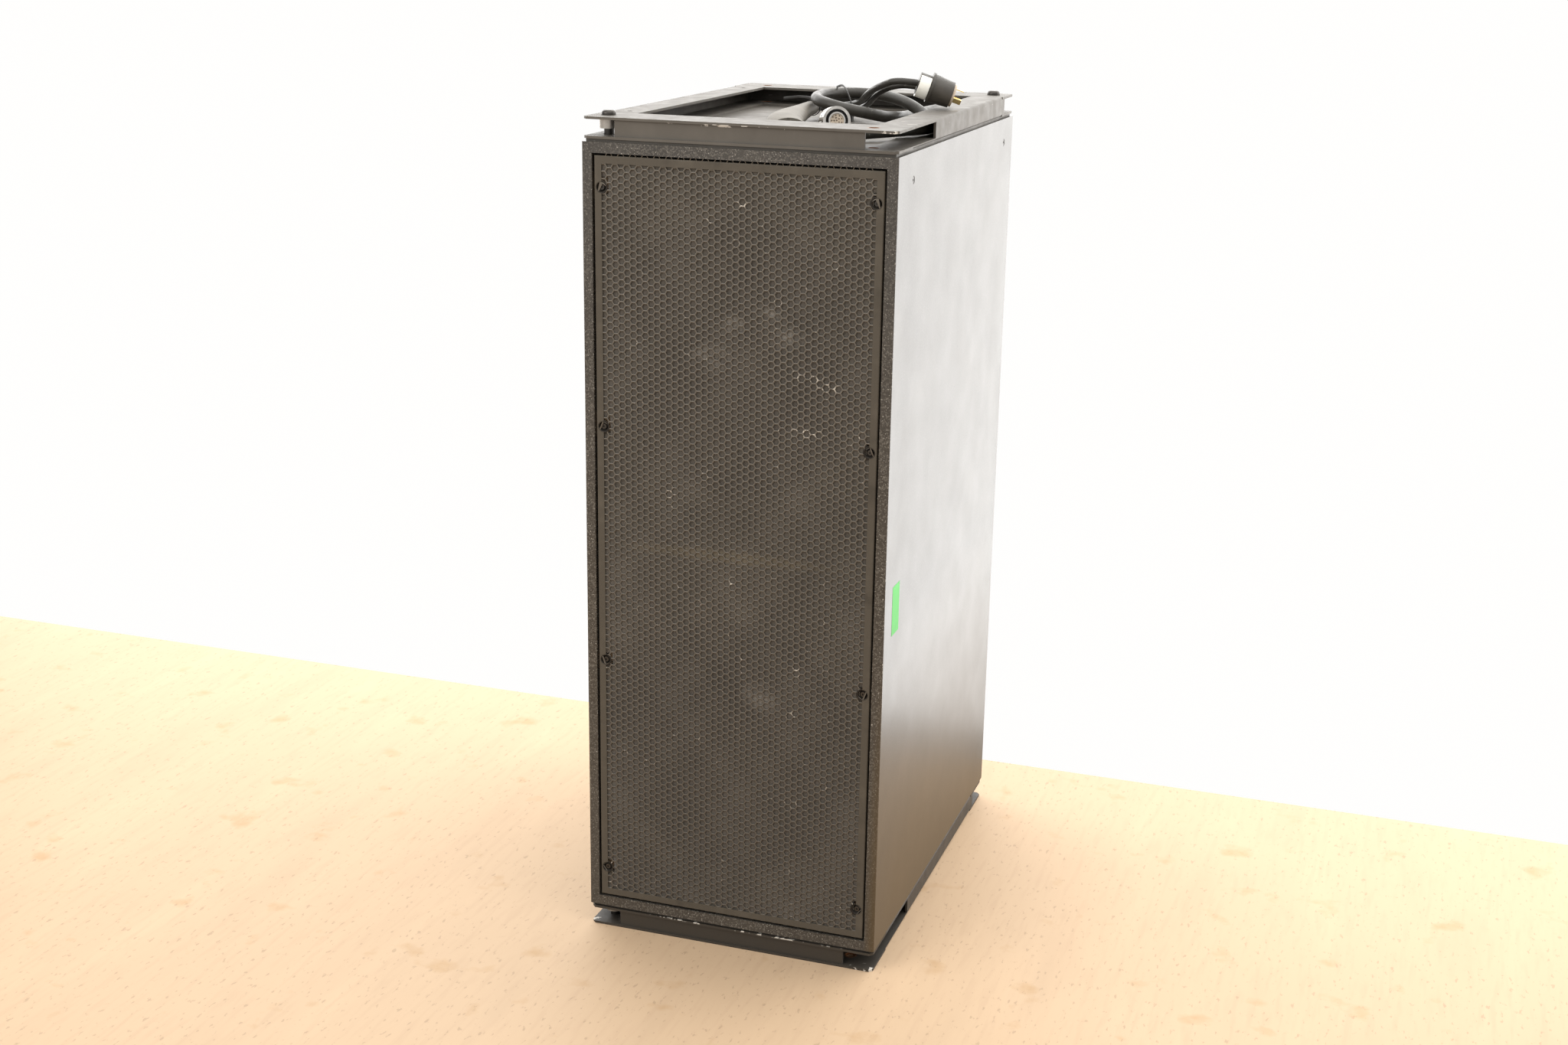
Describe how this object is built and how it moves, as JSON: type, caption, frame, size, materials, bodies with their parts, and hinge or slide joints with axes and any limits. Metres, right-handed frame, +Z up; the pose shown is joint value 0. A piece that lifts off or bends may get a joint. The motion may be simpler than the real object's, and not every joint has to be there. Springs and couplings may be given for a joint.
{
  "type": "touring loudspeaker cabinet",
  "caption": "Tall black loudspeaker cabinet stood on end, with a hex-perforated grille, steel rigging frames at both ends and a cable loom stowed in the top frame",
  "frame": {"origin": "on the floor, under the middle of the cabinet's footprint", "axes": "+X to the right of someone who faces the grille, +Y to the cabinet's back, +Z up"},
  "size_m": [0.5082, 0.762, 1.431],
  "materials": {
    "painted_ply": "semi-gloss black paint over plywood",
    "bare_ply": "raw plywood",
    "grille_steel": "worn powder coat",
    "foam": "open-cell acoustic foam",
    "frame_steel": "satin powder coat, worn at the edges",
    "dark_steel": "blackened",
    "bare_steel": "zinc plated",
    "cast_basket": "painted casting",
    "magnet": "matt black",
    "paper": "pressed paper pulp",
    "soft_rubber": "matt",
    "black_plastic": "moulded",
    "red_plastic": "gloss",
    "amp_paint": "fine texture",
    "alloy": "black anodised",
    "board": "circuit board",
    "lens": "tinted",
    "cable_rubber": "scuffed matt",
    "boot_rubber": "matt",
    "plug_black": "satin",
    "plug_white": "satin",
    "plug_ivory": "moulded",
    "brass": "bare",
    "chrome": "bright nickel plate",
    "tape": "cloth tape"
  },
  "bodies": {
    "cabinet": {"side_panel_left": "painted_ply", "side_panel_right": "painted_ply", "end_panel_top": "painted_ply", "end_panel_bottom": "painted_ply", "baffle": "painted_ply", "rear_panel": "painted_ply", "mid_brace": "bare_ply", "grille_blocks": "bare_ply", "grille_panel": "grille_steel", "grille_foam": "foam", "end_plate_top": "frame_steel", "end_plate_bottom": "frame_steel", "rail_top_front": "frame_steel", "rail_top_back": "frame_steel", "rail_top_left": "frame_steel", "rail_top_right": "frame_steel", "rail_bottom_front": "frame_steel", "rail_bottom_back": "frame_steel", "rail_bottom_left": "frame_steel", "rail_bottom_right": "frame_steel", "corner_bolts": "dark_steel", "driver_bolts": "dark_steel", "panel_screws": "dark_steel", "side_screws": "dark_steel", "corner_spacers": "bare_steel", "transformer": "bare_steel", "amp_shield": "bare_steel", "upper_basket": "cast_basket", "lower_basket": "cast_basket", "upper_motor": "magnet", "lower_motor": "magnet", "upper_suspension": "soft_rubber", "lower_suspension": "soft_rubber", "port_tubes": "black_plastic", "mains_sockets": "black_plastic", "signal_sockets": "black_plastic", "rocker_frame": "black_plastic", "lead_glands": "black_plastic", "cable_ties": "black_plastic", "signal_plug": "black_plastic", "amp_plate": "amp_paint", "heat_sink": "alloy", "amp_board": "board", "status_lens": "lens", "trunk_lead": "cable_rubber", "mains_lead": "cable_rubber", "signal_lead": "cable_rubber", "pigtail_lead": "cable_rubber", "breakout_boot": "boot_rubber", "plug_body": "plug_black", "plug_clamp": "plug_white", "plug_face": "plug_ivory", "connector_insert": "plug_ivory", "plug_blades": "brass", "connector_shell": "chrome", "tape_strip": "tape"},
    "upper_cone": {"upper_cone": "paper"},
    "lower_cone": {"lower_cone": "paper"},
    "power_rocker": {"power_rocker": "red_plastic"},
    "coupling_ring": {"coupling_ring": "chrome"}
  },
  "joints": [
    {"name": "upper_cone_travel", "type": "slide", "parent": "cabinet", "child": "upper_cone", "axis": [0, 1, 0], "range_m": [-0.01, 0.01], "stiffness_N_per_m": 7000},
    {"name": "lower_cone_travel", "type": "slide", "parent": "cabinet", "child": "lower_cone", "axis": [0, 1, 0], "range_m": [-0.01, 0.01], "stiffness_N_per_m": 7000},
    {"name": "power_rocker_tilt", "type": "hinge", "parent": "cabinet", "child": "power_rocker", "pos_m": [0.112, 0.355, 0.481], "axis": [1, 0, 0], "range_deg": [-18, 0]},
    {"name": "coupling_ring_turn", "type": "hinge", "parent": "cabinet", "child": "coupling_ring", "pos_m": [0.08901, -0.17103, 1.3627], "axis": [0.5097, -0.8495, 0.1359], "range_deg": [0, 90]}
  ]
}
